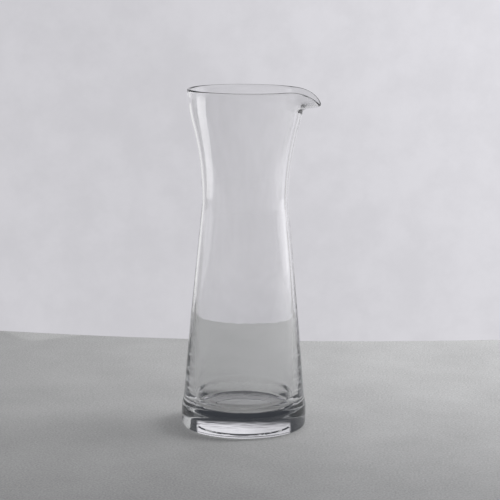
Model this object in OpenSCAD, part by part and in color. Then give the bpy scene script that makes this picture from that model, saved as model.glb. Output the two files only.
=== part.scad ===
// Clear glass water carafe: a heavy foot, a tapered body, a drawn-in waist and a wide mouth,
// with a pouring spout pulled out of the rim while the glass was hot.
// Millimetres, +Z up. The origin is on the carafe's axis, in the plane that it stands on,
// and the spout points along +X.
// The real carafe is one piece of glass. Each module is one region of that wall,
// and neighbouring regions meet face to face.

/* [Overall] */
// Height from the table to the top of the rim
total_h = 260; // [235:1:290]

/* [Foot] */
// Widest diameter of the foot
foot_d = 96; // [88:1:110]
// Height of the top of the foot, where the tapered wall rises from it
foot_h = 24; // [20:0.5:28]
// How far the foot's widest point stands out past the wall at that height
foot_step = 1.55; // [0.8:0.05:3]
// Height of the smooth bend at the top of the foot's side, which leads into the wall
foot_shoulder_h = 9; // [5:0.5:11]
// Height at which the foot's side is widest
foot_belly_h = 11; // [8:0.5:13]
// Radius of the slight outward curve of the foot's side
foot_side_r = 120; // [60:5:300]
// Radius of the foot's lower edge
foot_edge_r = 3; // [1:0.5:5]
// Width of the flat ring that the foot stands on, round the hollow beneath it
foot_ring_w = 21.4; // [15:0.1:30]
// Depth of that hollow, whose roof is flat and whose edge slopes at 45 degrees
punt_depth = 0.6; // [0.3:0.1:2]

/* [Inside floor] */
// Height of the inside floor's edge above the table
floor_h = 15.5; // [11:0.5:18]
// How far the inside floor dips from its edge to the axis
floor_dip = 0.8; // [0:0.1:3]
// Radius of the curve between the floor and the wall
floor_fillet_r = 12; // [5:0.5:16]

/* [Wall] */
// Glass thickness at the waist and above
wall_t = 2.4; // [1.8:0.1:3.5]
// Glass thickness where the wall rises from the foot
wall_foot_t = 7.9; // [5:0.1:11]
// Height above which the wall has its upper thickness
wall_thin_h = 128; // [80:1:165]
// Outward bow of the tapered wall between the foot and the waist
wall_bow = 0.4; // [0:0.1:2]

/* [Waist and mouth] */
// Outer diameter at the waist, the narrowest point
waist_d = 66; // [58:1:76]
// Height of the waist
waist_h = 175; // [150:1:195]
// Radius of the wall's curve just below the waist
waist_bend_r = 70; // [30:5:150]
// Outer diameter of the mouth at the rim
mouth_d = 89; // [80:1:100]
// Share of the height from the waist to the rim that curves outwards
flare_share = 0.68; // [0.4:0.01:0.85]
// Glass thickness at the fire-polished rim
rim_t = 2.2; // [1.6:0.1:4]
// Height below the rim over which the wall takes on that thickness
rim_bead_h = 7; // [3:0.5:12]

/* [Spout] */
// Distance from the top of the rim down to where the spout leaves the wall
spout_root_drop = 16.5; // [12:0.5:24]
// Half of the angle round the mouth that the spout takes up
spout_half_angle = 43; // [25:1:60]
// Angle through which the middle of the lip is bent outwards
spout_bend_angle = 65; // [20:1:75]
// Share by which the lip is drawn in towards the bend at the tip
spout_draw_share = 0.05; // [0:0.01:0.3]
// Share by which the pulled glass is thinner at the tip
spout_thin_share = 0.45; // [0:0.01:0.6]

/* [Hidden] */
// Clear glass, seen against a pale grey ground
glass_colour = [0.78, 0.82, 0.85, 0.45];
// Straight steps along an outline, and columns across the spout
arc_steps = 10;
wall_steps = 24;
fillet_steps = 4;
rim_steps = 10;
spout_columns = 36;
// Powers that shape the spout: how fast the bend dies away to each side,
// and how much of it lies close to the root
spout_side_power = 2.5;
spout_root_power = 3.5;
half_turn = 180;
quarter_turn = 90;
$fn = 96;

foot_r = foot_d / 2;
waist_r = waist_d / 2;
mouth_r = mouth_d / 2;
wall_foot_r = foot_r - foot_step;

// The wall from the waist to the rim is two arcs that meet without a crease at turn_h
rise = total_h - waist_h;
flare = mouth_r - waist_r;
bend_sum_r = (rise * rise + flare * flare) / (2 * flare);
flare_bend_r = flare_share * bend_sum_r;
mouth_bend_r = bend_sum_r - flare_bend_r;
turn_h = waist_h + flare_share * rise;

// The tapered wall runs from the foot to the curve below the waist, and touches it
taper_in = waist_r + waist_bend_r - wall_foot_r;
taper_up = waist_h - foot_h;
taper_lean = atan2(taper_in, taper_up) - asin(waist_bend_r / norm([taper_in, taper_up]));
taper_top_h = waist_h + waist_bend_r * sin(taper_lean);
taper_top_r = waist_r + waist_bend_r * (1 - cos(taper_lean));

// Centre of the curve between the inside floor and the wall
fillet_h = floor_h + floor_fillet_r;
fillet_x = outer_r(fillet_h) - glass_t(fillet_h) - floor_fillet_r;

// The foot's lower edge is an arc that touches the curve of its side
edge_reach = foot_side_r - foot_edge_r;
edge_angle = asin((foot_belly_h - foot_edge_r) / edge_reach);
edge_x = foot_r - foot_side_r + edge_reach * cos(edge_angle);
punt_r = edge_x - foot_ring_w;
side_top_h = foot_h - foot_shoulder_h;

// The bend at the top of the foot's side starts with the side's slope and ends with the wall's
side_depth = sqrt(pow(foot_side_r, 2) - pow(side_top_h - foot_belly_h, 2));
side_top_r = foot_r - foot_side_r + side_depth;
side_slope = (foot_belly_h - side_top_h) / side_depth;
wall_slope = (taper_top_r - wall_foot_r) / (taper_top_h - foot_h);

spout_root_h = total_h - spout_root_drop;
lip_h = total_h - rim_t / 2;
spout_hinge_r = middle_r(spout_root_h);

function clamp_share(x) = min(1, max(0, x));

// Evenly spaced values from a to b, both ends included
function spaced(a, b, steps) = [for (i = [0:steps]) a + (b - a) * i / steps];

function reversed(points) = [for (i = [len(points) - 1:-1:0]) points[i]];

// Outer radius of the wall at height z
function taper_r(z) =
    let (s = (z - foot_h) / (taper_top_h - foot_h), inside = clamp_share(s))
    wall_foot_r + (taper_top_r - wall_foot_r) * s + 16 * wall_bow * pow(inside * (1 - inside), 2);

function below_waist_r(z) =
    waist_r + waist_bend_r - sqrt(pow(waist_bend_r, 2) - pow(z - waist_h, 2));

function flare_r(z) =
    waist_r + flare_bend_r - sqrt(pow(flare_bend_r, 2) - pow(z - waist_h, 2));

function mouth_curve_r(z) =
    mouth_r - mouth_bend_r + sqrt(pow(mouth_bend_r, 2) - pow(total_h - z, 2));

function outer_r(z) =
    z <= taper_top_h ? taper_r(z) :
    z <= waist_h ? below_waist_r(z) :
    z <= turn_h ? flare_r(z) : mouth_curve_r(z);

// Glass thickness at height z: it grows towards the foot and changes a little towards the rim
function glass_t(z) =
    let (
        low = clamp_share((wall_thin_h - z) / (wall_thin_h - foot_h)),
        high = clamp_share((z - total_h + rim_bead_h) / rim_bead_h)
    )
    wall_t + (wall_foot_t - wall_t) * low * low + (rim_t - wall_t) * high * high;

// Radius of the inside at height z, down to the floor's edge
function cavity_r(z) =
    z >= fillet_h ? outer_r(z) - glass_t(z) :
    fillet_x + sqrt(pow(floor_fillet_r, 2) - pow(fillet_h - z, 2));

// Radius of the middle of the glass at height z, up to the top of the rim
function middle_r(z) = z < lip_h ? (outer_r(z) + cavity_r(z)) / 2 : outer_r(lip_h) - rim_t / 2;

// Radius of the bend above the foot's side at a share of its height
function shoulder_r(s) =
    side_top_r * (1 + 2 * s) * pow(1 - s, 2) + wall_foot_r * (3 - 2 * s) * s * s +
    foot_shoulder_h * (side_slope * s * pow(1 - s, 2) - wall_slope * (1 - s) * s * s);

// Outline of a plain band of the wall whose levels run upwards
function band_outline(levels) = concat(
    [for (z = levels) [outer_r(z), z]],
    [for (z = reversed(levels)) [cavity_r(z), z]]
);

// Outline of the lip above the spout's root: up the outside, over the round top, down the inside
lip_levels = spaced(spout_root_h, lip_h, rim_steps);
lip_mid_r = middle_r(lip_h);
lip_outline = concat(
    [for (z = lip_levels) [outer_r(z), z]],
    [for (a = spaced(0, half_turn, arc_steps)) if (a > 0 && a < half_turn)
        [lip_mid_r + rim_t / 2 * cos(a), lip_h + rim_t / 2 * sin(a)]],
    [for (i = [rim_steps:-1:0])
        let (z = lip_levels[i]) [i == rim_steps ? lip_mid_r - rim_t / 2 : cavity_r(z), z]]
);

// Outline of the foot, from the middle of the hollow beneath it round to the inside floor
punt_outline = [[0, punt_depth], [punt_r - punt_depth, punt_depth], [punt_r, 0]];
edge_outline = [for (a = spaced(-quarter_turn, -edge_angle, arc_steps))
    [edge_x + foot_edge_r * cos(a), foot_edge_r + foot_edge_r * sin(a)]];
side_levels = spaced(foot_belly_h - foot_side_r * sin(edge_angle), side_top_h, arc_steps);
side_outline = [for (i = [1:arc_steps])
    let (z = side_levels[i])
    [foot_r - foot_side_r + sqrt(pow(foot_side_r, 2) - pow(z - foot_belly_h, 2)), z]];
shoulder_outline = [for (s = spaced(0, 1, arc_steps)) if (s > 0)
    [shoulder_r(s), side_top_h + foot_shoulder_h * s]];
cut_angle = asin(clamp_share((fillet_h - foot_h) / floor_fillet_r));
fillet_outline = [for (a = spaced(cut_angle, quarter_turn, arc_steps))
    [fillet_x + floor_fillet_r * cos(a), fillet_h - floor_fillet_r * sin(a)]];
floor_outline = [for (s = spaced(1, 0, arc_steps)) if (s < 1)
    [fillet_x * s, floor_h - floor_dip * (1 - s * s)]];
foot_outline = concat(
    punt_outline, edge_outline, side_outline, shoulder_outline,
    foot_h > fillet_h ? [[cavity_r(foot_h), foot_h]] : [],
    fillet_outline, floor_outline
);

// Levels of the body: finer where the inside curves down to the floor
wall_levels = spaced(max(foot_h, fillet_h), taper_top_h, wall_steps);
body_levels = concat(
    fillet_h > foot_h ? [for (z = spaced(foot_h, fillet_h, fillet_steps)) if (z < fillet_h) z] : [],
    wall_levels
);

// How much of the bend the wall takes at an angle from the spout's middle: all of it in the
// middle, and none at the spout's edges
function bend_weight(angle) =
    pow(clamp_share(cos(quarter_turn * angle / spout_half_angle)), spout_side_power);

// Place of a lip outline point at an angle round the mouth. The wall turns outwards about its
// root, sharply at first and then less. It is drawn in a little towards the root, and thinned.
function spout_point(p, angle) =
    let (
        up = (p[1] - spout_root_h) / spout_root_drop,
        share = bend_weight(angle) * (1 - pow(clamp_share(1 - up), spout_root_power)),
        turn = spout_bend_angle * share,
        keep = 1 - spout_draw_share * share,
        middle = middle_r(p[1]),
        out = middle - spout_hinge_r + (p[0] - middle) * (1 - spout_thin_share * share),
        high = p[1] - spout_root_h,
        r = spout_hinge_r + keep * (out * cos(turn) + high * sin(turn)),
        z = spout_root_h + keep * (high * cos(turn) - out * sin(turn))
    )
    [r * cos(angle), r * sin(angle), z];

module glass() {
    color(glass_colour) children();
}

// A band of the wall between two heights, turned about the axis
module wall_band(levels) {
    rotate_extrude() polygon(band_outline(levels));
}

// Heavy solid foot with its hollow underside and the inside floor
module foot() {
    glass() rotate_extrude() polygon(foot_outline);
}

// Tapered wall that holds most of the water
module body() {
    glass() wall_band(body_levels);
}

// Drawn-in waist, where a hand grips the carafe
module waist() {
    glass() wall_band(concat(
        spaced(taper_top_h, waist_h, arc_steps),
        [for (z = spaced(waist_h, (waist_h + turn_h) / 2, arc_steps)) if (z > waist_h) z]
    ));
}

// Widening wall between the waist and the lip
module flare() {
    glass() wall_band(spaced((waist_h + turn_h) / 2, spout_root_h, wall_steps));
}

// Fire-polished lip, open where the spout is
module rim() {
    glass() rotate_extrude(start = spout_half_angle, angle = 2 * (half_turn - spout_half_angle))
        polygon(lip_outline);
}

// Pouring spout: the stretch of lip that was pulled outwards and down
module spout() {
    ring = len(lip_outline);
    angles = spaced(-spout_half_angle, spout_half_angle, spout_columns);
    points = [for (angle = angles) for (p = lip_outline) spout_point(p, angle)];
    walls = [for (c = [0:spout_columns - 1]) for (i = [0:ring - 1])
        let (
            next = (i + 1) % ring,
            a = c * ring + i,
            b = c * ring + next,
            d = (c + 1) * ring + i,
            e = (c + 1) * ring + next
        )
        for (face = [[a, b, e], [a, e, d]]) face];
    start_cap = [for (i = [ring - 1:-1:0]) i];
    end_cap = [for (i = [0:ring - 1]) spout_columns * ring + i];
    glass() polyhedron(points = points, faces = concat([start_cap], walls, [end_cap]));
}

foot();
body();
waist();
flare();
rim();
spout();
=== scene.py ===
"""Looks of a clear glass water carafe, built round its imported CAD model.

The real carafe is one piece of glass, so one closed mesh with its own inside wall stands for all
of the CAD regions. Its outline is worked out from the same sizes as the CAD, and a Geometry Nodes
tree turns that outline about the axis and pulls the pouring spout out of the rim.
Lengths are in metres. The origin is on the axis, on the table, and the spout points along +X.
"""

import logging
import math
from collections.abc import Callable, Iterable, Mapping
from dataclasses import dataclass, field
from enum import Enum

import bpy
from mathutils import Matrix, Vector

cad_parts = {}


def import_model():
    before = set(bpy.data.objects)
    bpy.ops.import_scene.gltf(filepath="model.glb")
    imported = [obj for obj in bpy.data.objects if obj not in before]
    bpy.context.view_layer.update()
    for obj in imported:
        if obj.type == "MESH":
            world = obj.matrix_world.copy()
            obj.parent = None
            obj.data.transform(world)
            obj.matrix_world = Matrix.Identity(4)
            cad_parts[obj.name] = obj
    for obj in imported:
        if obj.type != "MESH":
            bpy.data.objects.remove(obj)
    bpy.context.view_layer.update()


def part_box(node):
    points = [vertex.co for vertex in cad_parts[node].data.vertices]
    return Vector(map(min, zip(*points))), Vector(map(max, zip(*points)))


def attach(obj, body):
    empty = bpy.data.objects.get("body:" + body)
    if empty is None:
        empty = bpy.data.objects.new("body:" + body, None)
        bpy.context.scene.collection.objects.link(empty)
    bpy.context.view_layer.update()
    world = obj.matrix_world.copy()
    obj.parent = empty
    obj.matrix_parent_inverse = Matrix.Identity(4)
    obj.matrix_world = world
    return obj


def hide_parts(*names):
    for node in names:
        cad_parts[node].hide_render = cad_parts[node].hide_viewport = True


LOG = logging.getLogger("carafe")
BODY = "root"
MM = 0.001

Point = tuple[float, float]
Place = tuple[float, float, float]
Colour = tuple[float, float, float]
Setting = str | int | float | bool


def spaced(start: float, end: float, steps: int) -> list[float]:
    """Evenly spaced values.

    Args:
        start: The first value.
        end: The last value.
        steps: How many steps lie between them.

    Returns:
        The values, both ends included.
    """
    return [start + (end - start) * i / steps for i in range(steps + 1)]


def clamp_share(value: float) -> float:
    """Returns the value kept between 0 and 1."""
    return min(1.0, max(0.0, value))


def link(name: str, data: bpy.types.ID) -> bpy.types.Object:
    """Puts a mesh, a lamp or a camera into the scene.

    Args:
        name: The object's name.
        data: The mesh, lamp or camera.

    Returns:
        The new object.
    """
    obj = bpy.data.objects.new(name, data)
    bpy.context.scene.collection.objects.link(obj)
    return obj


def touching_curve(start: Point, end: Point, share: float) -> float:
    """A cubic between two values that has a given slope at each of them.

    Args:
        start: The first value, and the slope there for the whole length.
        end: The last value, and the slope there for the whole length.
        share: Share of the length.

    Returns:
        The value at that share.
    """
    left = 1 - share
    values = start[0] * (1 + 2 * share) * left**2 + end[0] * (3 - 2 * share) * share**2
    return values + start[1] * share * left**2 - end[1] * left * share**2


class Socket:
    """An output of a node, so that maths on it reads as an expression."""

    def __init__(self, tree: "Tree", socket: bpy.types.NodeSocket) -> None:
        """Wraps an output.

        Args:
            tree: The tree that the output is in.
            socket: The output.
        """
        self.tree = tree
        self.socket = socket

    def output(self, name: str) -> "Socket":
        """Returns another output of the same node, by its name."""
        found = [s for s in self.socket.node.outputs if s.name == name and s.enabled]
        return Socket(self.tree, found[0])

    def _math(self, operation: str, *values: "Socket | float") -> "Socket":
        """Returns the result of a Math node."""
        return self.tree.node("ShaderNodeMath", {"operation": operation}, dict(enumerate(values)))

    def __add__(self, other: "Socket | float") -> "Socket":
        """Returns self + other."""
        return self._math("ADD", self, other)

    __radd__ = __add__

    def __sub__(self, other: "Socket | float") -> "Socket":
        """Returns self - other."""
        return self._math("SUBTRACT", self, other)

    def __rsub__(self, other: float) -> "Socket":
        """Returns other - self."""
        return self._math("SUBTRACT", other, self)

    def __mul__(self, other: "Socket | float") -> "Socket":
        """Returns self * other."""
        return self._math("MULTIPLY", self, other)

    __rmul__ = __mul__

    def __truediv__(self, other: "Socket | float") -> "Socket":
        """Returns self / other."""
        return self._math("DIVIDE", self, other)

    def __pow__(self, power: "Socket | float") -> "Socket":
        """Returns self to a power."""
        return self._math("POWER", self, power)

    def floor(self) -> "Socket":
        """Returns the whole number below."""
        return self._math("FLOOR", self)

    def sin(self) -> "Socket":
        """Returns the sine of an angle in radians."""
        return self._math("SINE", self)

    def cos(self) -> "Socket":
        """Returns the cosine of an angle in radians."""
        return self._math("COSINE", self)

    def size(self) -> "Socket":
        """Returns the value without its sign."""
        return self._math("ABSOLUTE", self)

    def clamped(self, low: float = 0.0, high: float = 1.0) -> "Socket":
        """Returns the value kept between two limits."""
        return self._math("MINIMUM", self._math("MAXIMUM", self, low), high)

    def ramp(self, start: float, end: float, low: float = 0.0, high: float = 1.0) -> "Socket":
        """Maps a range of the value to another one with eased ends.

        Args:
            start: The value at which the result begins to change.
            end: The value at which it has changed.
            low: The result at and before start.
            high: The result at and after end.

        Returns:
            The mapped value.
        """
        return self.tree.node(
            "ShaderNodeMapRange",
            {"interpolation_type": "SMOOTHSTEP"},
            {"Value": self, "From Min": start, "From Max": end, "To Min": low, "To Max": high},
        )

    def length(self) -> "Socket":
        """Returns the length of a vector."""
        return self.tree.node("ShaderNodeVectorMath", {"operation": "LENGTH"}, {0: self}).output("Value")

    def dot(self, direction: Iterable[float]) -> "Socket":
        """Returns the dot product of a vector with a fixed direction."""
        node = self.tree.node(
            "ShaderNodeVectorMath", {"operation": "DOT_PRODUCT"}, {0: self, 1: tuple(direction)}
        )
        return node.output("Value")


@dataclass(frozen=True)
class Grain:
    """The grain of smooth noise.

    Attributes:
        per_metre: How many waves there are in a metre.
        layers: How many finer layers are added.
        rough: The strength of each finer layer.
    """

    per_metre: float
    layers: float
    rough: float


class Tree:
    """A node tree under construction."""

    NOISE_RANGE = (0.3, 0.7)

    def __init__(self, tree: bpy.types.NodeTree) -> None:
        """Empties a tree, to fill it.

        Args:
            tree: The tree of a material, a world or a modifier.
        """
        self.tree = tree
        tree.nodes.clear()

    def node(
        self,
        kind: str,
        settings: Mapping[str, Setting] | None = None,
        inputs: Mapping[str | int, object] | None = None,
    ) -> Socket:
        """Adds a node.

        Args:
            kind: The node's type.
            settings: Its own settings, which are set first.
            inputs: What goes into its sockets, by name or by place.

        Returns:
            Its first output.
        """
        made = self.tree.nodes.new(kind)
        for name, value in (settings or {}).items():
            setattr(made, name, value)
        for key, value in (inputs or {}).items():
            self._feed(made, key, value)
        outputs = [s for s in made.outputs if s.enabled]
        return Socket(self, outputs[0] if outputs else made.inputs[0])

    def _feed(self, node: bpy.types.Node, key: str | int, value: object) -> None:
        """Links or sets one input of a node.

        Args:
            node: The node.
            key: The input's name or place.
            value: A socket to link, or a value to set.
        """
        if isinstance(key, int):
            target = node.inputs[key]
        else:
            target = next(s for s in node.inputs if s.name == key and s.enabled)
        if isinstance(value, Socket):
            self.tree.links.new(value.socket, target)
        elif target.type == "RGBA" and len(value) == 3:
            target.default_value = (*value, 1.0)
        else:
            target.default_value = value

    def mix_colour(self, share: Socket, first: object, second: object) -> Socket:
        """Mixes two colours.

        Args:
            share: The share of the second colour.
            first: A colour or a socket.
            second: A colour or a socket.

        Returns:
            The mixed colour.
        """
        inputs = {"Factor": share, "A": first, "B": second}
        return self.node("ShaderNodeMix", {"data_type": "RGBA"}, inputs).output("Result")

    def noise(self, place: Socket, grain: Grain) -> Socket:
        """Returns smooth noise between 0 and 1.

        Args:
            place: The coordinates.
            grain: The grain of the noise.

        Returns:
            The noise.
        """
        layers = {"Scale": grain.per_metre, "Detail": grain.layers, "Roughness": grain.rough}
        return self.node("ShaderNodeTexNoise", {"noise_dimensions": "3D"}, {"Vector": place, **layers})

    def varied(self, noise: Socket, amount: float) -> Socket:
        """Returns a factor round 1 that noise raises and lowers by an amount."""
        return noise.ramp(*self.NOISE_RANGE, 1 - amount, 1 + amount)

    def scaled(self, colour: object, factor: Socket) -> Socket:
        """Returns a colour, or a socket, that is made brighter or darker by a factor."""
        inputs = {0: colour, "Scale": factor}
        return self.node("ShaderNodeVectorMath", {"operation": "SCALE"}, inputs)

    def mapped(self, place: Socket, scale: Place) -> Socket:
        """Returns coordinates that are stretched by a scale for each axis."""
        return self.node("ShaderNodeMapping", {}, {"Vector": place, "Scale": scale})


def new_material(name: str) -> tuple[bpy.types.Material, Tree]:
    """Returns a new material of a name, and its empty node tree."""
    made = bpy.data.materials.new(name)
    made.use_nodes = True
    return made, Tree(made.node_tree)


@dataclass(frozen=True)
class ClearGlass:
    """Clear pressed glass with a fire-polished skin.

    Attributes:
        name: The material's name.
        tint: Colour that each pass through the skin takes on.
        painted_shade_tint: Painted shade: a darker colour that the lower wall takes on above the foot,
            fading out higher up.
        refraction: Index of refraction.
        haze: Greatest roughness, where fingers or drying water left a film.
        wave: Height of the slow waves that the mould and the fire leave in the skin.
        ripple: Height of the finer ripples on them.
        low_ripple: How many times higher the ripples are at the foot.
        body_colour: Colour of what thick glass lets through.
        body_density: How fast thick glass takes light away, for each metre.
        shade: What each pass through the skin leaves of a lamp's light.
        foot_shade: The same at the side of the foot, which bends the light away.
    """

    name: str = "clear_glass"
    tint: Colour = (1.0, 1.0, 1.0)
    painted_shade_tint: Colour = (0.945, 0.947, 0.95)
    refraction: float = 1.5
    haze: float = 0.012
    wave: float = 0.00012
    ripple: float = 0.00003
    low_ripple: float = 3.0
    body_colour: Colour = (0.62, 0.74, 0.80)
    body_density: float = 0.5
    shade: Colour = (0.90, 0.90, 0.90)
    foot_shade: Colour = (0.20, 0.20, 0.20)

    STRETCH = (26.0, 26.0, 9.0)
    WAVES = Grain(1.0, 1.0, 0.4)
    RIPPLES = Grain(110.0, 1.0, 0.5)
    FILM = Grain(35.0, 3.0, 0.6)
    FILM_PATCHES = (0.45, 0.75)
    LOW_START = (20 * MM, 28 * MM)
    LOW_END = (60 * MM, 125 * MM)
    SIDE_START = (1 * MM, 2 * MM)
    SIDE_END = (12 * MM, 14 * MM)

    def material(self) -> bpy.types.Material:
        """Builds the material.

        Returns:
            The glass.
        """
        made, tree = new_material(self.name)
        place = tree.node("ShaderNodeTexCoord").output("Object")
        waves = tree.noise(tree.mapped(place, self.STRETCH), self.WAVES)
        ripples = tree.noise(place, self.RIPPLES)
        film = tree.noise(place, self.FILM).ramp(*self.FILM_PATCHES, 0.0, self.haze)
        up = place.dot((0, 0, 1))
        ripple = up.ramp(*self.LOW_START, self.low_ripple, 1.0) * self.ripple
        height = waves * self.wave + ripples * ripple
        # Painted shade: the lower wall's colour is darkened from just above the foot, fading out between
        # 60 and 125 mm up.
        low = up.ramp(*self.LOW_START) * (1 - up.ramp(*self.LOW_END))
        tint = tree.mix_colour(low, self.tint, self.painted_shade_tint)
        skin = tree.node("ShaderNodeBump", {}, {"Strength": 1.0, "Distance": 1.0, "Height": height})
        glass = tree.node(
            "ShaderNodeBsdfPrincipled",
            {"distribution": "MULTI_GGX"},
            {
                "Base Color": tint,
                "Roughness": film,
                "IOR": self.refraction,
                "Transmission Weight": 1.0,
                "Normal": skin,
            },
        )
        inside = tree.node(
            "ShaderNodeVolumeAbsorption",
            {},
            {"Color": self.body_colour, "Density": self.body_density},
        )
        side = up.ramp(*self.SIDE_START) * (1 - up.ramp(*self.SIDE_END))
        thin = tree.node("ShaderNodeBsdfTransparent", {}, {"Color": self.shade})
        thick = tree.node("ShaderNodeBsdfTransparent", {}, {"Color": self.foot_shade})
        passing = tree.node("ShaderNodeMixShader", {}, {0: side, 1: thin, 2: thick})
        shadow = tree.node("ShaderNodeLightPath").output("Is Shadow Ray")
        skin_mix = tree.node("ShaderNodeMixShader", {}, {0: shadow, 1: glass, 2: passing})
        tree.node("ShaderNodeOutputMaterial", {}, {"Surface": skin_mix, "Volume": inside})
        return made


@dataclass(frozen=True)
class StoneTop:
    """Matt pale grey table top, with painted light: lighter to the back and the right, and darker towards
    the camera and to the left, as the light falls off.

    Attributes:
        name: The material's name.
        far_left: Colour at the back on the left.
        far_right: Colour at the back on the right.
        near_left: Colour in front on the left.
        near_right: Colour in front on the right.
        speckle: How far the grain lightens and darkens the colour.
        cloudiness: Share of that which broad clouds have, and not the fine grain.
        roughness: Roughness of the surface.
        shine: Strength of its reflections.
    """

    name: str = "pale_stone"
    far_left: Colour = (0.440, 0.440, 0.440)
    far_right: Colour = (0.583, 0.583, 0.585)
    near_left: Colour = (0.233, 0.233, 0.233)
    near_right: Colour = (0.281, 0.281, 0.284)
    speckle: float = 0.20
    cloudiness: float = 0.25
    roughness: float = 0.62
    shine: float = 0.3

    SPECKS = Grain(650.0, 2.0, 0.6)
    CLOUDS = Grain(14.0, 3.0, 0.6)
    SIDES = (-0.28, 0.28)
    DEPTHS = (-0.42, 0.30)

    def material(self) -> bpy.types.Material:
        """Builds the material.

        Returns:
            The stone.
        """
        made, tree = new_material(self.name)
        place = tree.node("ShaderNodeTexCoord").output("Object")
        # Painted light: the grey is mixed between the four corner colours, lighter to the back and the
        # right and darker towards the camera and to the left.
        sides = place.dot((1, 0, 0)).ramp(*self.SIDES)
        depth = place.dot((0, 1, 0)).ramp(*self.DEPTHS)
        far = tree.mix_colour(sides, self.far_left, self.far_right)
        near = tree.mix_colour(sides, self.near_left, self.near_right)
        plain = tree.mix_colour(depth, near, far)
        specks = tree.noise(place, self.SPECKS) * (1 - self.cloudiness)
        pattern = specks + tree.noise(place, self.CLOUDS) * self.cloudiness
        colour = tree.scaled(plain, tree.varied(pattern, self.speckle))
        skin = {"Roughness": self.roughness, "Specular IOR Level": self.shine}
        stone = tree.node("ShaderNodeBsdfPrincipled", {}, {"Base Color": colour, **skin})
        tree.node("ShaderNodeOutputMaterial", {}, {"Surface": stone})
        return made


class Outline:
    """A line of points in the plane of radius and height, which the glass is turned from."""

    SAME = 1e-9

    def __init__(self) -> None:
        """Starts an empty outline."""
        self.points: list[Point] = []

    def add(self, *points: Point) -> None:
        """Adds points, apart from one that repeats the last."""
        for point in points:
            if not self.points or math.dist(point, self.points[-1]) > self.SAME:
                self.points.append(point)

    def arc(self, centre: Point, radius: Point, turn: Point, steps: int) -> None:
        """Adds an arc of an ellipse.

        Args:
            centre: Its centre.
            radius: Its half width and half height.
            turn: The angles at which it starts and ends, in radians.
            steps: How many straight steps it has.
        """
        for a in spaced(*turn, steps):
            self.add((centre[0] + radius[0] * math.cos(a), centre[1] + radius[1] * math.sin(a)))

    def curve(self, shape: Callable[[float], float], heights: Iterable[float]) -> None:
        """Adds the points of a radius that is a function of height."""
        self.add(*((shape(z), z) for z in heights))


@dataclass(frozen=True)
class Foot:
    """The heavy solid foot: its hollow, its ring, its side and the bend that leads into the wall.

    Attributes:
        width: Widest diameter.
        height: Height of its top, where the wall rises from it.
        step: How far the widest point stands out past the wall at that height.
        shoulder_h: Height of the bend at the top of the side.
        belly_h: Height at which the side is widest.
        side_r: Radius of the side's outward curve.
        edge_r: Radius of the lower edge.
        ring_w: Width of the flat ring that it stands on.
        hollow_depth: Depth of the hollow, whose edge slopes at 45 degrees.
    """

    width: float
    height: float
    step: float = 1.55 * MM
    shoulder_h: float = 9.0 * MM
    belly_h: float = 11.0 * MM
    side_r: float = 120.0 * MM
    edge_r: float = 3.0 * MM
    ring_w: float = 21.4 * MM
    hollow_depth: float = 0.6 * MM

    STEPS = 12
    BEND_STEPS = 18
    CORNER = 0.15 * MM
    CLEAR_CORNERS = 3

    @property
    def radius(self) -> float:
        """Widest radius."""
        return self.width / 2

    @property
    def wall_radius(self) -> float:
        """Outer radius of the wall at the foot's top."""
        return self.radius - self.step

    def draw(self, outline: Outline, wall_slope: float) -> None:
        """Adds the foot from the middle of its hollow to its top.

        Args:
            outline: The outline to go on with.
            wall_slope: How fast the wall's radius grows with height where it leaves the foot.
        """
        reach = self.side_r - self.edge_r
        lean = math.asin((self.belly_h - self.edge_r) / reach)
        edge_x = self.radius - self.side_r + reach * math.cos(lean)
        self._draw_underside(outline, edge_x)
        edge = (self.edge_r, self.edge_r)
        outline.arc((edge_x, self.edge_r), edge, (-math.pi / 2, -lean), self.STEPS)
        side_top = self.height - self.shoulder_h
        centre = (self.radius - self.side_r, self.belly_h)
        top_turn = math.asin((side_top - self.belly_h) / self.side_r)
        outline.arc(centre, (self.side_r, self.side_r), (-lean, top_turn), self.STEPS)
        low = (outline.points[-1][0], -math.tan(top_turn) * self.shoulder_h)
        high = (self.wall_radius, wall_slope * self.shoulder_h)
        for s in spaced(0, 1, self.BEND_STEPS):
            outline.add((touching_curve(low, high, s), side_top + s * self.shoulder_h))

    def _draw_underside(self, outline: Outline, ring_end: float) -> None:
        """Adds the hollow and the ring, with soft corners.

        Args:
            outline: The outline to go on with.
            ring_end: Radius at which the ring ends.
        """
        hollow_r = ring_end - self.ring_w
        roof_r = hollow_r - self.hollow_depth
        soft = self.CORNER
        clear = self.CLEAR_CORNERS * soft
        roof = (*spaced(0, roof_r - clear, self.STEPS), roof_r - soft)
        ring = (hollow_r + soft, *spaced(hollow_r + clear, ring_end - clear, self.STEPS))
        outline.add(*((r, self.hollow_depth) for r in roof))
        outline.add((roof_r + soft / 2, self.hollow_depth - soft / 2))
        outline.add((hollow_r - soft / 2, soft / 2))
        outline.add(*((r, 0) for r in ring))


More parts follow.
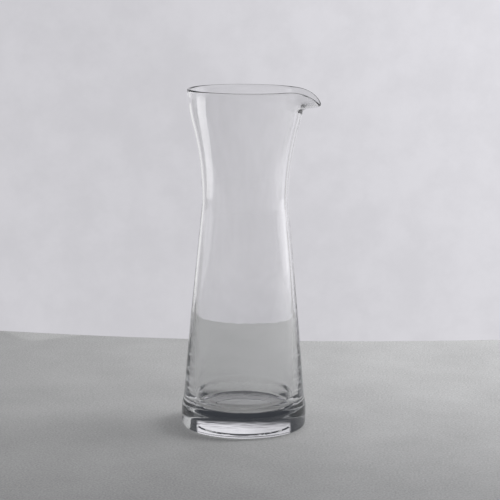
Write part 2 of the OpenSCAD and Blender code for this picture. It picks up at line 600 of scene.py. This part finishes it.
@dataclass(frozen=True)
class Wall:
    """The wall of the body, the waist and the mouth, with the floor inside.

    Attributes:
        foot: The foot that it rises from.
        height: Height of the top of the rim.
        mouth_w: Outer diameter of the mouth.
        waist_w: Outer diameter at the waist.
        waist_h: Height of the waist.
        waist_bend_r: Radius of the curve just below the waist.
        flare_share: Share of the height above the waist that curves outwards.
        bow: Outward bow of the tapered wall.
        thick: Thickness at the waist.
        foot_thick: Thickness at the foot's top.
        thin_h: Height above which the wall has its upper thickness.
        rim_thick: Thickness at the rim.
        bead_h: Height below the rim over which the wall takes on that thickness.
        floor_h: Height of the inside floor's edge.
        floor_dip: How far the floor dips to the axis.
        fillet_r: Radius of the curve between the floor and the wall.
    """

    foot: Foot
    height: float
    mouth_w: float
    waist_w: float = 66.0 * MM
    waist_h: float = 175.0 * MM
    waist_bend_r: float = 70.0 * MM
    flare_share: float = 0.68
    bow: float = 0.4 * MM
    thick: float = 2.4 * MM
    foot_thick: float = 7.9 * MM
    thin_h: float = 128.0 * MM
    rim_thick: float = 2.2 * MM
    bead_h: float = 7.0 * MM
    floor_h: float = 15.5 * MM
    floor_dip: float = 0.8 * MM
    fillet_r: float = 12.0 * MM

    LEVEL = 3.0 * MM
    LIP_STEPS = 24
    ROUND_STEPS = 12

    @property
    def waist_r(self) -> float:
        """Outer radius at the waist."""
        return self.waist_w / 2

    @property
    def mouth_r(self) -> float:
        """Outer radius at the rim."""
        return self.mouth_w / 2

    @property
    def flare_bends(self) -> Point:
        """Radii of the two arcs from the waist to the rim, which meet without a crease."""
        rise = self.height - self.waist_h
        flare = self.mouth_r - self.waist_r
        total = (rise * rise + flare * flare) / (2 * flare)
        return self.flare_share * total, (1 - self.flare_share) * total

    @property
    def taper_top(self) -> Point:
        """Radius and height at which the taper touches the curve below the waist."""
        across = self.waist_r + self.waist_bend_r - self.foot.wall_radius
        up = self.waist_h - self.foot.height
        lean = math.atan2(across, up) - math.asin(self.waist_bend_r / math.hypot(across, up))
        radius = self.waist_r + self.waist_bend_r * (1 - math.cos(lean))
        return radius, self.waist_h + self.waist_bend_r * math.sin(lean)

    @property
    def foot_slope(self) -> float:
        """How fast the outer radius grows with height at the foot's top."""
        top_r, top_h = self.taper_top
        return (top_r - self.foot.wall_radius) / (top_h - self.foot.height)

    @property
    def lip_h(self) -> float:
        """Height at which the rim starts to round over."""
        return self.height - self.rim_thick / 2

    @property
    def lip_middle_r(self) -> float:
        """Radius of the middle of the rim."""
        return self.outer_r(self.lip_h) - self.rim_thick / 2

    @property
    def fillet_centre(self) -> Point:
        """Centre of the curve between the floor and the wall."""
        height = self.floor_h + self.fillet_r
        return self.outer_r(height) - self.thickness(height) - self.fillet_r, height

    def outer_r(self, z: float) -> float:
        """Outer radius of the wall.

        Args:
            z: Height above the table.

        Returns:
            The radius.
        """
        top_r, top_h = self.taper_top
        if z <= top_h:
            foot_r = self.foot.wall_radius
            s = (z - self.foot.height) / (top_h - self.foot.height)
            inside = clamp_share(s)
            bulge = 4 * inside * (1 - inside)
            return foot_r + (top_r - foot_r) * s + self.bow * bulge * bulge
        if z <= self.waist_h:
            bend = self.waist_bend_r
            return self.waist_r + bend - math.sqrt(bend**2 - (z - self.waist_h) ** 2)
        lower, upper = self.flare_bends
        if z <= self.waist_h + self.flare_share * (self.height - self.waist_h):
            return self.waist_r + lower - math.sqrt(lower**2 - (z - self.waist_h) ** 2)
        return self.mouth_r - upper + math.sqrt(upper**2 - (self.height - z) ** 2)

    def thickness(self, z: float) -> float:
        """Thickness of the glass, which grows towards the foot and changes a little towards the rim.

        Args:
            z: Height above the table.

        Returns:
            The thickness.
        """
        low = clamp_share((self.thin_h - z) / (self.thin_h - self.foot.height))
        high = clamp_share((z - self.height + self.bead_h) / self.bead_h)
        heavier = (self.foot_thick - self.thick) * low * low
        return self.thick + heavier + (self.rim_thick - self.thick) * high * high

    def inner_r(self, z: float) -> float:
        """Returns the inner radius of the wall above the fillet, at a height."""
        return self.outer_r(z) - self.thickness(z)

    def middle_r(self, z: float) -> float:
        """Returns the radius of the middle of the glass at a height."""
        if z >= self.lip_h:
            return self.lip_middle_r
        return (self.outer_r(z) + self.inner_r(z)) / 2

    def draw(self, outline: Outline, spout_root_h: float) -> None:
        """Adds the wall from the foot up, over the rim and down to the middle of the floor.

        Args:
            outline: The outline to go on with.
            spout_root_h: Height from which the levels are close enough to bend.
        """
        start = self.foot.height
        fillet_x, fillet_h = self.fillet_centre
        outside = spaced(start, spout_root_h, round((spout_root_h - start) / self.LEVEL))
        inside = spaced(spout_root_h, fillet_h, round((spout_root_h - fillet_h) / self.LEVEL))
        lip = spaced(spout_root_h, self.lip_h, self.LIP_STEPS)
        half = self.rim_thick / 2
        outline.curve(self.outer_r, outside)
        outline.curve(self.outer_r, lip)
        outline.arc((self.lip_middle_r, self.lip_h), (half, half), (0, math.pi), self.ROUND_STEPS)
        outline.curve(self.inner_r, reversed(lip[:-1]))
        outline.curve(self.inner_r, inside)
        corner = (self.fillet_r, self.fillet_r)
        outline.arc((fillet_x, fillet_h), corner, (0, -math.pi / 2), self.ROUND_STEPS)
        for s in spaced(1, 0, self.ROUND_STEPS):
            outline.add((fillet_x * s, self.floor_h - self.floor_dip * (1 - s * s)))


@dataclass(frozen=True)
class Spout:
    """The stretch of lip that was pulled outwards and down to pour from.

    Attributes:
        root_h: Height at which it leaves the wall.
        half_angle: Half of the angle round the mouth that it takes up, in degrees.
        bend: Angle through which the middle of the lip is bent outwards, in degrees.
        draw_share: Share by which the lip is drawn in towards the bend at the tip.
        thin_share: Share by which the glass is thinner at the tip.
        side_power: How fast the bend dies away to each side.
        root_power: How much of the bend lies close to the root.
    """

    root_h: float
    half_angle: float = 43.0
    bend: float = 65.0
    draw_share: float = 0.05
    thin_share: float = 0.45
    side_power: float = 2.5
    root_power: float = 3.5


class TurningTree:
    """Geometry Nodes that turn an outline about the axis and pull the spout out of its lip."""

    MIDDLE = "middle_radius"
    MERGE = 0.002 * MM
    WHOLE_NUMBERS = ("Levels", "Columns")
    SIZES = ("Root Height", "Drop", "Hinge Radius", "Half Angle", "Bend")
    SHARES = ("Draw Share", "Thin Share", "Side Power", "Root Power")

    def __init__(self, material: bpy.types.Material) -> None:
        """Builds the tree.

        Args:
            material: The finish of the turned piece.
        """
        self.group = bpy.data.node_groups.new("turned_glass", "GeometryNodeTree")
        self.tree = Tree(self.group)
        self._interface()
        self._build(material)

    def _interface(self) -> None:
        """Adds the tree's inputs and its output."""
        face = self.group.interface
        face.new_socket("Outline", in_out="INPUT", socket_type="NodeSocketGeometry")
        for name in self.WHOLE_NUMBERS:
            face.new_socket(name, in_out="INPUT", socket_type="NodeSocketInt")
        for name in (*self.SIZES, *self.SHARES):
            face.new_socket(name, in_out="INPUT", socket_type="NodeSocketFloat")
        face.new_socket("Turned", in_out="OUTPUT", socket_type="NodeSocketGeometry")

    def _sample(self, source: Socket, kind: str, value: Socket, index: Socket) -> Socket:
        """Reads a value at one point of the outline.

        Args:
            source: The outline.
            kind: The type of the value.
            value: The value, as a field on the outline.
            index: The point's number.

        Returns:
            The value at that point.
        """
        inputs = {"Geometry": source, "Value": value, "Index": index}
        return self.tree.node("GeometryNodeSampleIndex", {"data_type": kind}, inputs)

    def _bent(self, given: Socket, radius: Socket, z: Socket, middle: Socket, angle: Socket) -> Point:
        """Bends the lip outwards about its root, most in the middle of the spout.

        Args:
            given: The tree's inputs.
            radius: Radius of an outline point.
            z: Its height.
            middle: Radius of the middle of the glass there.
            angle: Its angle from the middle of the spout, in radians.

        Returns:
            Its radius and height on the finished carafe.
        """
        root = given.output("Root Height")
        hinge = given.output("Hinge Radius")
        high = z - root
        up = (high / given.output("Drop")).clamped()
        aside = (angle / given.output("Half Angle")).clamped(-1.0, 1.0) * (math.pi / 2)
        weight = aside.cos().clamped() ** given.output("Side Power")
        share = weight * (1 - (1 - up) ** given.output("Root Power"))
        turn = share * given.output("Bend")
        keep = 1 - given.output("Draw Share") * share
        thin = 1 - given.output("Thin Share") * share
        out = middle - hinge + (radius - middle) * thin
        new_radius = hinge + keep * (out * turn.cos() + high * turn.sin())
        new_z = root + keep * (high * turn.cos() - out * turn.sin())
        return new_radius, new_z

    def _build(self, material: bpy.types.Material) -> None:
        """Adds the nodes.

        Args:
            material: The finish of the turned piece.
        """
        tree = self.tree
        given = tree.node("NodeGroupInput")
        outline = given.output("Outline")
        columns = given.output("Columns")
        grid_inputs = {"Vertices X": given.output("Levels"), "Vertices Y": columns + 1}
        grid = tree.node("GeometryNodeMeshGrid", {}, grid_inputs)
        number = tree.node("GeometryNodeInputIndex")
        # The half keeps a rounding error from giving the level below.
        level = ((number + 0.5) / (columns + 1)).floor()
        angle = (number - level * (columns + 1)) / columns * math.tau - math.pi
        place = tree.node("GeometryNodeInputPosition")
        point = self._sample(outline, "FLOAT_VECTOR", place, level)
        named = tree.node("GeometryNodeInputNamedAttribute", {"data_type": "FLOAT"}, {"Name": self.MIDDLE})
        middle = self._sample(outline, "FLOAT", named, level)
        radius, z = self._bent(given, point.dot((1, 0, 0)), point.dot((0, 0, 1)), middle, angle)
        turned = {"X": radius * angle.cos(), "Y": radius * angle.sin(), "Z": z}
        position = tree.node("ShaderNodeCombineXYZ", {}, turned)
        placed = tree.node("GeometryNodeSetPosition", {}, {"Geometry": grid, "Position": position})
        closed = {"Geometry": placed, "Distance": self.MERGE}
        merged = tree.node("GeometryNodeMergeByDistance", {}, closed)
        outward = tree.node("GeometryNodeFlipFaces", {}, {"Mesh": merged})
        smooth = tree.node("GeometryNodeSetShadeSmooth", {}, {"Geometry": outward, "Shade Smooth": True})
        real = tree.node("GeometryNodeRealizeInstances", {}, {"Geometry": smooth})
        dressed = tree.node("GeometryNodeSetMaterial", {}, {"Geometry": real, "Material": material})
        tree.node("NodeGroupOutput", {}, {"Turned": dressed})

    def apply(self, obj: bpy.types.Object, sizes: Mapping[str, float]) -> bpy.types.Mesh:
        """Runs the tree on an object and takes the result as a plain mesh.

        Args:
            obj: The object that holds the outline.
            sizes: The tree's inputs, by name.

        Returns:
            The turned mesh.
        """
        modifier = obj.modifiers.new("turned", "NODES")
        modifier.node_group = self.group
        sockets = {s.name: s.identifier for s in self.group.interface.items_tree}
        for name, value in sizes.items():
            modifier[sockets[name]] = value
        graph = bpy.context.evaluated_depsgraph_get()
        mesh = bpy.data.meshes.new_from_object(obj.evaluated_get(graph))
        obj.modifiers.remove(modifier)
        return mesh


@dataclass(frozen=True)
class Carafe:
    """The whole carafe, which is one piece of glass.

    Attributes:
        wall: Its wall, which stands on its foot.
        spout: Its pouring spout.
        glass: Its finish.
        columns: How many columns there are round it.
    """

    wall: Wall
    spout: Spout
    glass: ClearGlass = field(default_factory=ClearGlass)
    columns: int = 288

    NODES = ("foot", "body", "waist", "flare", "rim", "spout")

    @classmethod
    def from_frame(cls) -> "Carafe":
        """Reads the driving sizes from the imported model.

        Returns:
            A carafe of those sizes.
        """
        foot_low, foot_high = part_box("foot")
        rim_low, rim_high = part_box("rim")
        spout_low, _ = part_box("spout")
        foot = Foot(width=foot_high.x - foot_low.x, height=foot_high.z)
        wall = Wall(foot=foot, height=rim_high.z, mouth_w=-2 * rim_low.x)
        return cls(wall=wall, spout=Spout(root_h=spout_low.z))

    def outline(self) -> Outline:
        """Draws the outline of the glass.

        Returns:
            The outline, from the middle of the hollow round to the middle of the inside floor.
        """
        made = Outline()
        self.wall.foot.draw(made, self.wall.foot_slope)
        self.wall.draw(made, self.spout.root_h)
        return made

    def _outline_object(self, points: list[Point]) -> bpy.types.Object:
        """Makes the object that the outline's points are turned from.

        Args:
            points: Radii and heights.

        Returns:
            The object, with the radius of the middle of the glass at each point.
        """
        mesh = bpy.data.meshes.new("carafe")
        edges = [(i, i + 1) for i in range(len(points) - 1)]
        mesh.from_pydata([(r, 0, z) for r, z in points], edges, [])
        middle = mesh.attributes.new(TurningTree.MIDDLE, "FLOAT", "POINT")
        for item, (_, z) in zip(middle.data, points):
            item.value = self.wall.middle_r(z)
        return link("carafe", mesh)

    def _sizes(self, levels: int) -> dict[str, float]:
        """Lists the inputs of the turning tree.

        Args:
            levels: How many points the outline has.

        Returns:
            The inputs, by name.
        """
        spout = self.spout
        return {
            "Levels": levels,
            "Columns": self.columns,
            "Root Height": spout.root_h,
            "Drop": self.wall.height - spout.root_h,
            "Hinge Radius": self.wall.middle_r(spout.root_h),
            "Half Angle": math.radians(spout.half_angle),
            "Bend": math.radians(spout.bend),
            "Draw Share": spout.draw_share,
            "Thin Share": spout.thin_share,
            "Side Power": spout.side_power,
            "Root Power": spout.root_power,
        }

    def build(self) -> bpy.types.Object:
        """Builds the glass and hangs it on the frame.

        Returns:
            The finished piece.
        """
        points = self.outline().points
        obj = self._outline_object(points)
        obj.data = TurningTree(self.glass.material()).apply(obj, self._sizes(len(points)))
        obj.data.name = obj.name = "carafe_glass"
        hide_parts(*self.NODES)
        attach(obj, BODY)
        return obj


class Role(Enum):
    """What a lamp is there for."""

    KEY = "key"
    FILL = "fill"
    RIGHT_WINDOW = "right_window"


@dataclass(frozen=True)
class Lamp:
    """A soft rectangular lamp.

    Attributes:
        role: What it is there for.
        place: Its middle.
        size: Its width and height.
        power: Its power in watts.
        aim: The point that it faces.
        in_glass: Whether the glass shows it.
    """

    role: Role
    place: Place
    size: Point
    power: float
    aim: Place = (0.0, 0.0, 0.12)
    in_glass: bool = True

    def build(self) -> None:
        """Builds the lamp."""
        name = f"lamp_{self.role.value}"
        data = bpy.data.lights.new(name, "AREA")
        data.shape = "RECTANGLE"
        data.size, data.size_y = self.size
        data.energy = self.power
        obj = link(name, data)
        obj.location = self.place
        facing = Vector(self.aim) - Vector(self.place)
        obj.rotation_euler = facing.to_track_quat("-Z", "Y").to_euler()
        obj.visible_camera = False
        obj.visible_glossy = obj.visible_transmission = self.in_glass


@dataclass(frozen=True)
class Camera:
    """The camera, where the photograph was taken from.

    Attributes:
        azimuth: Angle that it is turned round the carafe towards the spout, in degrees.
        distance: Distance from the axis along the table.
        height: Height above the table.
        tilt: Angle that it looks down, in degrees.
        pan: Angle that it looks to the right of the axis, in degrees.
        roll: Angle that it is turned anticlockwise, in degrees.
        lens: Focal length in millimetres on the sensor.
        sensor: Width of the sensor in millimetres.
    """

    azimuth: float = 6.0
    distance: float = 1.431
    height: float = 0.3834
    tilt: float = 9.779
    pan: float = 0.157
    roll: float = 0.43
    lens: float = 136.73
    sensor: float = 36.0

    @property
    def ahead(self) -> Vector:
        """Level direction from the camera to the axis."""
        turn = math.radians(self.azimuth)
        return Vector((-math.sin(turn), math.cos(turn), 0.0))

    @property
    def right(self) -> Vector:
        """Level direction to the right of the picture."""
        turn = math.radians(self.azimuth)
        return Vector((math.cos(turn), math.sin(turn), 0.0))

    def build(self) -> None:
        """Builds the camera and makes it the scene's."""
        data = bpy.data.cameras.new("camera")
        data.lens, data.sensor_width = self.lens, self.sensor
        obj = link("camera", data)
        obj.location = self.ahead * -self.distance + Vector((0, 0, self.height))
        tilt, pan = math.radians(self.tilt), math.radians(self.pan)
        level = self.ahead * math.cos(pan) + self.right * math.sin(pan)
        facing = level * math.cos(tilt) - Vector((0, 0, math.sin(tilt)))
        turned = facing.to_track_quat("-Z", "Y").to_matrix()
        rolled = turned @ Matrix.Rotation(math.radians(self.roll), 3, "Z")
        obj.rotation_euler = rolled.to_euler()
        bpy.context.scene.camera = obj


@dataclass(frozen=True)
class Table:
    """The table that the carafe stands on, whose back edge shows behind it.

    Attributes:
        back: Distance from the axis to the nearest point of the back edge, away from the camera.
        back_side: How far to the right of the axis that point is.
        back_bow: How fast the back edge recedes from there, for each metre squared.
        back_span: How far to each side the back edge is bowed.
        reach: How far it goes to the sides and to the front.
        thick: Its thickness.
        finish: Its finish.
    """

    back: float = 0.297
    back_side: float = 0.07
    back_bow: float = 0.40
    back_span: float = 0.40
    reach: float = 6.0
    thick: float = 30.0 * MM
    finish: StoneTop = field(default_factory=StoneTop)

    BACK_STEPS = 24
    # Keeps the top clear of the glass's ring, so that no ray meets both at one place.
    GAP = 0.1 * MM

    def build(self, camera: Camera) -> None:
        """Builds the table.

        Args:
            camera: The camera that it is square to.
        """
        bowed = spaced(self.back_span, -self.back_span, self.BACK_STEPS)
        back = [(x + self.back_side, self.back + self.back_bow * x * x) for x in bowed]
        ends = [(self.reach, back[0][1]), *back, (-self.reach, back[-1][1])]
        outline = [(-self.reach, -self.reach), (self.reach, -self.reach), *ends]
        lie = Vector((0, 0, -self.GAP))
        top = [camera.right * x + camera.ahead * y + lie for x, y in outline]
        count = len(top)
        verts = top + [p + Vector((0, 0, -self.thick)) for p in top]
        sides = [(i, i + count, (i + 1) % count + count, (i + 1) % count) for i in range(count)]
        bottom = tuple(reversed(range(count, 2 * count)))
        mesh = bpy.data.meshes.new("table")
        mesh.from_pydata(verts, [], [tuple(range(count)), bottom, *sides])
        mesh.materials.append(self.finish.material())
        link("table", mesh)


@dataclass(frozen=True)
class Room:
    """The pale wall behind the table and the dim room round it, as the world's colour.

    Attributes:
        wall: Colour of the wall straight ahead.
        slope: How much brighter it gets to the right, for each unit of direction.
        climb: How much brighter it gets upwards.
        least: Least share of its colour that it falls to.
        most: Greatest share of its colour that it rises to.
        mottle: How far the plaster lightens and darkens it.
        dim: Colour of the room round it.
        side: Sine of the angle at which the wall ends to each side, and of where the room begins.
        top: The same for the wall's top.
        low: The same for the low part of the wall, which goes on all round.
        plaster: The grain of the mottling.
    """

    wall: Colour = (0.675, 0.667, 0.704)
    slope: float = 1.05
    climb: float = 0.6
    least: float = 0.9
    most: float = 1.15
    mottle: float = 0.03
    dim: Colour = (0.040, 0.043, 0.050)
    side: Point = (0.56, 0.62)
    top: Point = (0.25, 0.32)
    low: Point = (-0.02, 0.06)
    plaster: Grain = Grain(45.0, 4.0, 0.65)

    FRONT = (0.0, 0.1)

    def build(self, camera: Camera) -> None:
        """Builds the world.

        Args:
            camera: The camera that faces the wall.
        """
        world = bpy.data.worlds.new("room")
        bpy.context.scene.world = world
        world.use_nodes = True
        tree = Tree(world.node_tree)
        direction = tree.node("ShaderNodeTexCoord").output("Generated")
        ahead = direction.dot(camera.ahead)
        across = direction.dot(camera.right)
        up = direction.dot((0, 0, 1))
        level = (1 + across * self.slope + up * self.climb).clamped(self.least, self.most)
        mottle = tree.varied(tree.noise(direction, self.plaster), self.mottle)
        bright = tree.scaled(self.wall, level * mottle)
        around = 1 - up.ramp(*self.low)
        beside = (1 - across.size().ramp(*self.side) + around).clamped()
        below = 1 - up.ramp(*self.top)
        seen = beside * below * ahead.ramp(*self.FRONT)
        colour = tree.mix_colour(seen, self.dim, bright)
        background = tree.node("ShaderNodeBackground", {}, {"Color": colour, "Strength": 1.0})
        tree.node("ShaderNodeOutputWorld", {}, {"Surface": background})


@dataclass(frozen=True)
class Strip:
    """A level strip of light beside the picture, for a highlight or a dark line on the glass.

    Attributes:
        name: The strip's name.
        bearing: Its direction from the axis, from straight ahead towards the right, in degrees.
        spread: How far it reaches to each side of that direction, in degrees.
        level: How bright it is.
        reach: The distances at which it begins and ends.
        height: Height above the table.
        fades: Lengths over which it comes to full brightness at its near end and fades at its far end.
        through: Whether the glass shows it by refraction too, and not only as a reflection.
    """

    name: str
    bearing: float
    spread: float
    level: float
    reach: Point = (0.35, 1.8)
    height: float = 1.0 * MM
    fades: Point = (1.0 * MM, 1.0 * MM)
    through: bool = True

    def build(self, camera: Camera) -> None:
        """Builds the strip.

        Args:
            camera: The camera that it is square to.
        """
        near, far = self.reach
        one, other = (math.radians(self.bearing + turn) for turn in (-self.spread, self.spread))
        polar = ((near, one), (far, one), (far, other), (near, other))
        lift = Vector((0, 0, self.height))
        verts = [
            camera.right * (d * math.sin(a)) + camera.ahead * (d * math.cos(a)) + lift
            for d, a in polar
        ]
        mesh = bpy.data.meshes.new(self.name)
        mesh.from_pydata(verts, [], [tuple(range(len(verts)))])
        material, tree = new_material(self.name)
        place = tree.node("ShaderNodeTexCoord").output("Object")
        distance = place.length()
        rise, fall = self.fades
        lit = distance.ramp(near, near + rise) * (1 - distance.ramp(far - fall, far))
        light = tree.node("ShaderNodeEmission", {}, {"Color": lit, "Strength": self.level})
        tree.node("ShaderNodeOutputMaterial", {}, {"Surface": light})
        mesh.materials.append(material)
        obj = link(self.name, mesh)
        obj.visible_camera = obj.visible_diffuse = obj.visible_shadow = False
        obj.visible_transmission = self.through


@dataclass(frozen=True)
class Studio:
    """Everything round the carafe that isn't part of it.

    Attributes:
        camera: The camera.
        table: The table.
        room: The room.
        strips: The strips of light beside the picture.
        lamps: The lamps.
        bounces: How often light may turn inside the thick glass.
    """

    camera: Camera = field(default_factory=Camera)
    table: Table = field(default_factory=Table)
    room: Room = field(default_factory=Room)
    strips: tuple[Strip, ...] = (
        Strip(
            "strip_left",
            bearing=-84.0,
            spread=13.0,
            reach=(0.10, 0.90),
            level=3.7,
            height=166.0 * MM,
            fades=(0.19, 0.45),
            through=False,
        ),
        Strip("strip_left_edge", bearing=-29.5, spread=5.0, level=0.85),
        Strip("strip_left_shade", bearing=-53.0, spread=10.0, level=0.26),
        Strip("strip_right_edge", bearing=25.0, spread=3.0, level=0.4),
        Strip("strip_right_shade", bearing=45.0, spread=4.0, level=0.4),
    )
    lamps: tuple[Lamp, ...] = (
        Lamp(Role.KEY, place=(2.0, 0.64, 1.36), size=(0.9, 0.9), power=40.0, in_glass=False),
        Lamp(Role.FILL, place=(0.1, 0.25, 1.5), size=(1.2, 1.2), power=14.0, in_glass=False),
        Lamp(Role.RIGHT_WINDOW, place=(0.75, 0.50, 0.40), size=(0.5, 0.8), power=0.6),
    )
    bounces: int = 48

    def build(self) -> None:
        """Builds the studio."""
        scene = bpy.context.scene
        scene.view_settings.view_transform = "Standard"
        scene.cycles.max_bounces = self.bounces
        scene.cycles.transmission_bounces = self.bounces
        scene.cycles.glossy_bounces = self.bounces
        self.camera.build()
        self.table.build(self.camera)
        self.room.build(self.camera)
        for strip in self.strips:
            strip.build(self.camera)
        for lamp in self.lamps:
            lamp.build()


def main() -> None:
    """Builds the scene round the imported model."""
    logging.basicConfig(level=logging.INFO, format="%(name)s: %(message)s")
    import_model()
    glass = Carafe.from_frame().build()
    LOG.info("%s has %d vertices", glass.name, len(glass.data.vertices))
    Studio().build()
    LOG.info("the studio is built")


if __name__ == "__main__":
    main()
